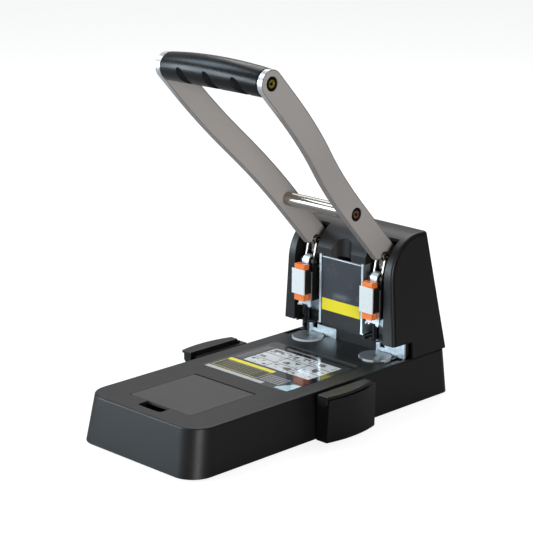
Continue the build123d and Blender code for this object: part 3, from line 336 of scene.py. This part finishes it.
def satin_arm(name):
    """Satin-coated steel arm: warm grey faces with a fine grain, a rim that is bright silver
    round the grip end and dull along the arm, and a thin dark line of painted shade inside the
    rim, where a small bevel falls into shade. The distance to the outline is the arm's half
    width less the distance to the line from the grip to the shaft."""
    face, dull, bright = srgb(176, 172, 169), srgb(128, 122, 118), srgb(188, 190, 192)
    paint = Paint(name, face, 0.46, 0.2)
    vector, x, y, z = paint.place()
    along = (y - GRIP[0]) * ARM_U[0] + (z - GRIP[1]) * ARM_U[1]
    across = (y - GRIP[0]) * ARM_N[0] + (z - GRIP[1]) * ARM_N[1]
    beyond = (0.0 - along).over(along - ARM_LENGTH).over(0.0)
    inside = ARM_HALF_WIDTH - (across ** 2.0 + beyond ** 2.0) ** 0.5
    rim = 1 - abs(paint.facing()[0]).rise(0.55, 0.8)
    # painted shade: a thin dark line just inside the rim, for the shaded bevel of the edge
    line = inside.within(0.25, 0.75, 0.12) * (1 - rim)
    grain = paint.noise(vector, 1.8, 3.0, 0.6)
    cloud = paint.noise(vector, 0.03, 2.0)
    shade = paint.mix(grain, tint(face, 0.93), tint(face, 1.07))
    shade = paint.mix(cloud * 0.5, shade, tint(face, 0.86))
    shade = paint.mix(line, shade, srgb(96, 92, 88))
    silver = 1 - along.rise(6.0, 34.0)
    paint.feed("Base Color", paint.mix(rim, shade, paint.mix(silver, dull, bright)))
    paint.feed("Metallic", 0.08 + rim * silver * 0.55)
    paint.feed("Roughness", 0.46 + (grain - 0.5) * 0.1 - rim * 0.14)
    paint.bump(grain - line * 4.0, 0.03, 0.15)
    return paint.material


def screw_finish(name, centre, bright, dark):
    """Passivated cross-head screw, by distance from the screw's axis along X: a bright ring
    broken up by a noise, and dark everywhere else as painted shade of the recess the screw sits
    in."""
    paint = Paint(name, bright, 0.35, 0.9)
    vector, x, y, z = paint.place()
    radius = ((y - centre[0]) ** 2.0 + (z - centre[1]) ** 2.0) ** 0.5
    cloud = paint.noise(vector, 0.8, 2.0)
    ring = radius.within(1.5, 3.3, 0.25) * cloud.rise(0.34, 0.5)
    # the dark colour outside the ring is painted shade of the screw's recess
    paint.feed("Base Color", paint.mix(ring, dark, bright))
    paint.feed("Roughness", 0.5 - ring * 0.2)
    paint.bump(cloud, 0.1, 0.3)
    return paint.material


def gloss_black(name):
    """Polished black thermoplastic of the grip, with faint handling haze."""
    paint = Paint(name, srgb(14, 14, 15), 0.30, **{"Specular IOR Level": 0.22,
                  "Coat Roughness": 0.20})
    vector, *_ = paint.place()
    haze = paint.noise(paint.stretched(vector, (0.3, 1.0, 1.0)), 0.12, 3.0)
    paint.feed("Base Color", paint.mix(haze, srgb(9, 9, 10), srgb(16, 16, 17)))
    paint.feed("Roughness", 0.25 + haze.rise(0.35, 0.8) * 0.10)
    paint.feed("Coat Weight", 0.10 - haze * 0.1)
    paint.bump(paint.noise(vector, 0.8, 2.0), 0.03, 0.1)
    return paint.material


def bright_moulding(name, color, roughness=0.4):
    """Light-coloured moulded plastic with a fine grain and slightly grimy patches."""
    paint = Paint(name, color, roughness)
    vector, *_ = paint.place()
    fine, cloud = paint.noise(vector, 3.0, 2.0), paint.noise(vector, 0.25, 3.0)
    shade = paint.mix(cloud.rise(0.45, 0.75) * 0.3, color, tint(color, 0.82))
    paint.feed("Base Color", paint.mix((fine - 0.35).over(0.0) * 0.3, shade, tint(color, 0.9)))
    paint.feed("Roughness", roughness + (fine - 0.5) * 0.12)
    paint.bump(fine, 0.08, 0.2)
    return paint.material


def disc_finish(name):
    """Smoky nylon cutting disc: pale rim and a bore painted nearly black as its shade, with
    ring marks from use. The distance is taken from the nearer cutter line."""
    paint = Paint(name, srgb(118, 122, 124), 0.28, **{"Specular IOR Level": 0.55})
    vector, x, y, z = paint.place()
    radius = ((abs(x) - UNIT_X) ** 2.0 + (y - PUNCH_Y) ** 2.0) ** 0.5
    scuff = paint.noise(vector, 0.7, 3.0)
    rim = radius.rise(DISC_RIM, DISC_RIM + 0.3)
    cut = radius.within(2.6, 3.3, 0.2)
    # painted shade: the bore is coloured nearly black
    bore = 1 - radius.rise(1.1, 1.6)
    shade = paint.mix(scuff, srgb(84, 88, 91), srgb(116, 121, 124))
    shade = paint.mix(rim, shade, srgb(176, 183, 187))
    shade = paint.mix(cut * 0.35, shade, srgb(60, 62, 64))
    paint.feed("Base Color", paint.mix(bore, shade, srgb(12, 12, 13)))
    paint.feed("Roughness", 0.30 + scuff * 0.16 + cut * 0.2)
    paint.bump(scuff - cut * 2.0, 0.05, 0.3)
    return paint.material


def panel_finish(name):
    """Smoked glossy panel: pale top edge, a yellow band with a faint pale haze above it, and
    black below it."""
    paint = Paint(name, srgb(58, 62, 70), 0.22, **{"Specular IOR Level": 0.5})
    vector, x, y, z = paint.place()
    cloud = paint.noise(vector, 0.12, 2.0)
    yellow, low = z.within(*YELLOW_BAND), 1 - z.rise(70.5, 70.8)
    top = z.rise(PANEL_TOP, PANEL_TOP + 0.4)
    haze = (1 - abs(x).rise(4.0, 12.0)) * z.within(83.5, 88.0, 2.0)
    shade = paint.mix(cloud, srgb(46, 49, 55), srgb(58, 61, 68))
    shade = paint.mix(haze * 0.25, shade, srgb(150, 154, 160))
    shade = paint.mix(low, shade, srgb(8, 9, 11))
    shade = paint.mix(yellow, shade, srgb(226, 208, 8))
    paint.feed("Base Color", paint.mix(top, shade, srgb(205, 218, 224)))
    paint.feed("Roughness", 0.20 + cloud * 0.12 + yellow * 0.2 + low * 0.3)
    paint.bump(cloud - yellow, 0.04, 0.2)
    return paint.material


def label_finish(name):
    """Glossy printed film with generic marks: nine pale panels in three rows, with irregular
    dark blots from a noise, a ruled column on their left and a faint strip behind them. In
    front of them lie a yellow bar, a ruled block with a yellow outline, a grid of grey cells,
    a pale strip along the front edge and a pale blue corner."""
    paint = Paint(name, srgb(30, 30, 32), 0.12, **{"Specular IOR Level": 0.5,
                  "Coat Roughness": 0.05})
    vector, x, y, z = paint.place()
    u, v = x - LABEL_X[0], y - LABEL_Y[0]          # from the front left corner
    panels = (14.0, 92.0, 3, 36.0, 78.0, 3)        # from, to and count, across and along

    def block(u0, u1, v0, v1, soft=0.12):
        return u.within(u0, u1, soft) * v.within(v0, v1, soft)

    def cells(u0, u1, columns, v0, v1, rows, gap):
        """1 inside the panels of a grid, 0 on the lines between them."""
        step_u, step_v = (u1 - u0) / columns, (v1 - v0) / rows
        return (block(u0, u1, v0, v1) * (u - u0).wrap(step_u).within(gap, step_u - gap, 0.1)
                * (v - v0).wrap(step_v).within(gap, step_v - gap, 0.1))

    cloud = paint.noise(vector, 0.16, 3.0)
    drift = paint.noise(vector, 0.06, 1.0)
    shade = paint.mix(drift, srgb(22, 22, 24), srgb(38, 37, 38))
    yellow_block = block(4.0, 58.0, 9.0, 27.0)
    layers = [
        (block(4.0, 12.0, 37.0, 78.0) * v.wrap(2.4).within(0.7, 1.3), srgb(150, 150, 148)),
        (cells(*panels, 0.5), paint.mix(drift, srgb(196, 200, 202), srgb(236, 240, 240))),
        (cells(*panels, 2.5) * cloud.rise(0.52, 0.55) * 0.9,
         paint.mix(drift, srgb(30, 27, 25), srgb(120, 104, 92))),
        (block(4.0, 58.0, 28.0, 33.0), srgb(245, 228, 20)),
        (yellow_block * (1 - block(4.5, 57.5, 9.5, 26.5)), srgb(228, 212, 26)),
        (yellow_block * v.wrap(3.2).within(1.3, 1.7, 0.1) * block(8, 50, 10, 25) * 0.8,
         srgb(188, 178, 60)),
        (block(3.0, 70.0, 2.0, 7.0) * 0.8, srgb(206, 206, 202)),
        (cells(60.0, 84.0, 6, 9.0, 25.0, 5, 0.35) * 0.5, srgb(180, 182, 184)),
        (block(84.0, 99.0, 3.0, 20.0) * (u - v * 0.6 - 80.0).rise(0.0, 0.4),
         srgb(176, 206, 214)),
        (block(22.0, 60.0, 82.0, 85.0) * 0.35, srgb(200, 200, 200)),
    ]
    for mask, color in layers:
        shade = paint.mix(mask, shade, color)
    paint.feed("Base Color", shade)
    paint.feed("Roughness", 0.10 + cloud * 0.05)
    paint.feed("Coat Weight", 0.5 + cloud * 0.2)
    paint.bump(cloud, 0.01, 0.1)
    return paint.material


def rubber_finish(name):
    """Matt rubber with a dusty bloom."""
    paint = Paint(name, srgb(30, 30, 30), 0.8)
    vector, *_ = paint.place()
    dust = paint.noise(vector, 0.9, 4.0)
    paint.feed("Base Color", paint.mix(dust.rise(0.5, 0.8), srgb(26, 26, 26), srgb(62, 60, 58)))
    paint.feed("Roughness", 0.72 + dust * 0.2)
    paint.bump(dust, 0.2, 0.3)
    return paint.material


def painted_steel(name):
    """Black powder coat on steel: orange-peel bumps."""
    paint = Paint(name, srgb(34, 34, 36), 0.45, **{"Specular IOR Level": 0.5})
    vector, *_ = paint.place()
    peel = paint.noise(vector, 0.9, 2.0)
    paint.feed("Base Color", paint.mix(peel, srgb(28, 28, 30), srgb(42, 42, 44)))
    paint.feed("Roughness", 0.38 + peel * 0.16)
    paint.bump(peel, 0.15, 0.3)
    return paint.material


black = moulded_black("moulded_black")
head_black = moulded_black("head_black", roughness=0.41, extra=groove_painted_shade)
# The lid's warm grey, lighter than the other black mouldings, is painted sheen.
lid_black = moulded_black("lid_black", color=srgb(58, 54, 52), roughness=0.46, extra=lid_wear)
deep_black = moulded_black("deep_black", color=srgb(15, 15, 16), roughness=0.36)
guide_black = moulded_black("guide_black", color=srgb(13, 12, 12), roughness=0.34, grain=0.012)
zinc = galvanised("galvanised_sheet")
steel = ground_steel("ground_steel", srgb(176, 176, 178))
blued = ground_steel("blued_steel", srgb(40, 41, 46), 0.34)
chrome = ground_steel("bright_chrome", srgb(172, 166, 158), 0.19, (0.004, 0.08, 0.08))
zinc_wire = ground_steel("zinc_wire", srgb(150, 142, 132), 0.34)
satin = satin_arm("satin_arm")
coat = painted_steel("painted_steel")
orange = bright_moulding("orange_moulding", srgb(240, 124, 52), 0.38)
white = bright_moulding("white_moulding", srgb(214, 218, 218), 0.42)
disc_look = disc_finish("smoky_disc")
panel_look = panel_finish("smoked_panel")
label_look = label_finish("printed_film")
rubber = rubber_finish("dusty_rubber")
# each screw's second colour is painted shade of its recess
gold_screw = screw_finish("gold_screw", GRIP, srgb(190, 172, 70), srgb(20, 19, 16))
copper_screw = screw_finish("copper_screw", BAR, srgb(168, 122, 96), srgb(22, 18, 16))
grip_gloss = gloss_black("grip_gloss")

looks = {
    black: ["base_casing", "storage_bin", "slider_left", "slider_right", "holder_left",
            "holder_right"],
    head_black: ["head_cover"],
    lid_black: ["storage_lid"],
    deep_black: ["throat_wall", "cutter_guide_left", "cutter_guide_right", "roller_left",
                 "roller_right", "guide_pinion"],
    guide_black: ["paper_guide_left", "paper_guide_right"],
    panel_look: ["centre_panel"],
    label_look: ["label_panel"],
    zinc: ["channel_left", "channel_right", "stop_plate_left", "stop_plate_right",
           "strap_left", "strap_right", "channel_bridge"],
    coat: ["side_frame_left", "side_frame_right", "floor_plate", "cross_ties", "anvils",
           "pinion_post"],
    blued: ["cutter_left", "cutter_right"],
    steel: ["pivot_shaft", "shaft_rings", "axle_left", "axle_right", "link_pins", "lid_pin",
            "floor_screws", "arm_hub_left", "arm_hub_right", "grip_core"],
    zinc_wire: ["link_left", "link_right"],
    satin: ["arm_left", "arm_right"],
    chrome: ["crossbar"],
    gold_screw: ["grip_screws"],
    copper_screw: ["crossbar_screws"],
    orange: ["latch_left", "latch_right"],
    white: ["unit_cover_left", "unit_cover_right"],
    disc_look: ["disc_left", "disc_right", "spare_discs"],
    rubber: ["rubber_feet"],
    grip_gloss: ["grip"],
}


def dress(piece, material):
    """Give a piece one material in its first slot."""
    piece.data.materials.clear()
    piece.data.materials.append(material)
    return piece


for material, names in looks.items():
    for name in names:
        dress(nodes[name], material)

# ---------------------------------------------------------------- grip with finger grooves
def grip_points(rows=221, columns=160):
    """Bowed tube: at share s of its half length the middle line stands GRIP_BOW * (1 - s^2)
    away from the arms, and the radius grows from the end radius to the middle radius by the
    same curve. Three slanted teardrops are pressed in on the lower front: depth falls off
    as (1 - r^2)^0.6 over each teardrop, where r is 0 in its middle and 1 at its edge."""
    s = np.linspace(-1, 1, rows)
    turn = np.linspace(0, 2 * np.pi, columns, endpoint=False)
    s, turn = np.meshgrid(s, turn, indexing="ij")
    swell = 1 - s ** 2
    x = s * GRIP_HALF
    end_radius, middle_radius = GRIP_RADIUS
    radius = end_radius + (middle_radius - end_radius) * swell
    edge = np.clip((1 - np.abs(s)) * GRIP_HALF / GRIP_EDGE[0], 0, 1)
    radius = radius - GRIP_EDGE[1] * (1 - np.sqrt(1 - (1 - edge) ** 2))
    down = (np.degrees(turn) - FINGER_ARC) * np.pi / 180 * FINGER_RADIUS
    shift, slant = FINGER_SLANT
    for middle in FINGER_MIDDLES:
        # the teardrop's long axis runs down and to the right
        right = x - middle - shift - slant * down
        width = np.where(right < 0, *FINGER_WIDTHS)
        length = np.where(down < 0, *FINGER_LENGTHS)
        r2 = (right / width) ** 2 + (down / length) ** 2
        radius = radius - FINGER_DEPTH * np.clip(1 - r2, 0, 1) ** 0.6
    y = GRIP[0] - ARM_U[0] * GRIP_BOW * swell + radius * np.cos(turn)
    z = GRIP[1] - ARM_U[1] * GRIP_BOW * swell + radius * np.sin(turn)
    return np.stack([x, y, z], -1)


grip = outwards(surface("grip_skin", grip_points()))
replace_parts(dress(grip, grip_gloss), "grip")
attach(grip, "lever")

# ---------------------------------------------------------------- lever spring
def coil_points(per_turn=28):
    """Helix round the lever shaft: x grows evenly, while y and z go round by cos and sin."""
    t = np.linspace(0, 1, SPRING_TURNS * per_turn + 1)
    angle = 2 * np.pi * SPRING_TURNS * t
    return np.stack([-SPRING_HALF + 2 * SPRING_HALF * t,
                     PIVOT[0] + SPRING_RADIUS * np.cos(angle),
                     PIVOT[1] + SPRING_RADIUS * np.sin(angle)], -1)


spring = outwards(surface("lever_spring_coils", tube(coil_points(), SPRING_WIRE, 10)))
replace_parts(dress(spring, steel), "lever_spring")
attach(spring, "root")

# ---------------------------------------------------------------- floor, light and camera
FLOOR_HALF = 30.0                  # metres
FLOOR_SEEN = 0.72                  # share of plain white in the floor as the camera sees it
floor_mesh = bpy.data.meshes.new("floor")
floor_mesh.from_pydata([(x * FLOOR_HALF, y * FLOOR_HALF, 0)
                        for x, y in ((-1, -1), (1, -1), (1, 1), (-1, 1))], [], [(0, 1, 2, 3)])
floor = link(bpy.data.objects.new("floor", floor_mesh))
pale = Paint("pale_floor", (0.9, 0.9, 0.9), 0.7, **{"Specular IOR Level": 0.1})
seen = pale.node("ShaderNodeLightPath")
pale.feed("Base Color", pale.mix(seen, (0.30, 0.30, 0.30), (0.92, 0.92, 0.92)))
glow = pale.node("ShaderNodeEmission", None, {"Strength": 1.16})
surface_mix = pale.node("ShaderNodeMixShader", None, {0: seen * FLOOR_SEEN})
surface_node = surface_mix.socket.node
pale.tree.links.new(pale.shader.outputs[0], surface_node.inputs[1])
pale.tree.links.new(glow.socket, surface_node.inputs[2])
pale.tree.links.new(surface_mix.socket, pale.tree.nodes["Material Output"].inputs[0])
dress(floor, pale.material)

world = bpy.data.worlds.new("studio")
bpy.context.scene.world = world
world.use_nodes = True
sky = Graph(world.node_tree)
across, *_ = sky.parts(sky.node("ShaderNodeTexCoord"))
camera_ray = sky.node("ShaderNodeLightPath")
air = sky.tree.nodes["Background"]
# soft light from the left, the back and above; the right side of the room is dark
sky.put(air.inputs[1], (0.42 - across.rise(-0.05, 0.55) * 0.36) * (1 - camera_ray)
        + camera_ray)
sky.put(air.inputs[0], sky.mix(camera_ray, (0.93, 0.96, 1.0), (1.0, 1.0, 1.0)))


def softbox(name, place, aim, size, watts, color):
    """Rectangular area lamp at place, turned to face aim."""
    lamp = bpy.data.lights.new(name, "AREA")
    lamp.shape, lamp.size, lamp.size_y = "RECTANGLE", *size
    lamp.energy, lamp.color = watts, color
    box = link(bpy.data.objects.new(name, lamp))
    box.location = place
    box.rotation_euler = (Vector(aim) - Vector(place)).to_track_quat("-Z", "Y").to_euler()


softbox("overhead", (-0.35, 0.75, 1.45), (0, 0, 0.08), (1.5, 1.3), 22, (1.0, 0.98, 0.965))
softbox("front_left", (-1.05, -1.25, 0.42), (0, 0, 0.10), (1.2, 0.6), 26, (0.76, 0.90, 1.0))
softbox("left_high", (-1.05, -0.55, 1.30), (0, 0, 0.25), (0.55, 0.55), 7, (0.70, 0.86, 1.0))
softbox("right_fill", (1.70, -0.95, 0.42), (0, 0, 0.15), (0.6, 0.6), 23, (1.0, 0.97, 0.95))

# camera fitted to the reference view: turn, height and tilt in degrees, place in metres
CAMERA_ANGLES = (44.687, 15.647, 0.298)
CAMERA_PLACE = (1.06736, -1.08407, 0.55689)
SENSOR_WIDTH = 36.0
FOCAL_WIDTHS = 1897.55 / 533       # focal length in picture widths
azimuth, elevation, roll = (math.radians(a) for a in CAMERA_ANGLES)
back = Vector((math.sin(azimuth) * math.cos(elevation),
               -math.cos(azimuth) * math.cos(elevation), math.sin(elevation)))
right = Vector((0, 0, 1)).cross(back).normalized()
up = back.cross(right)
camera_x = right * math.cos(roll) + up * math.sin(roll)
camera_y = up * math.cos(roll) - right * math.sin(roll)
camera = link(bpy.data.objects.new("camera", bpy.data.cameras.new("camera")))
turn = Matrix((camera_x, camera_y, back)).transposed().to_4x4()
camera.matrix_world = Matrix.Translation(CAMERA_PLACE) @ turn
camera.data.sensor_width = SENSOR_WIDTH
camera.data.lens = FOCAL_WIDTHS * SENSOR_WIDTH
camera.data.clip_start, camera.data.clip_end = 0.05, 100.0
bpy.context.scene.camera = camera
bpy.context.scene.view_settings.view_transform = "Standard"
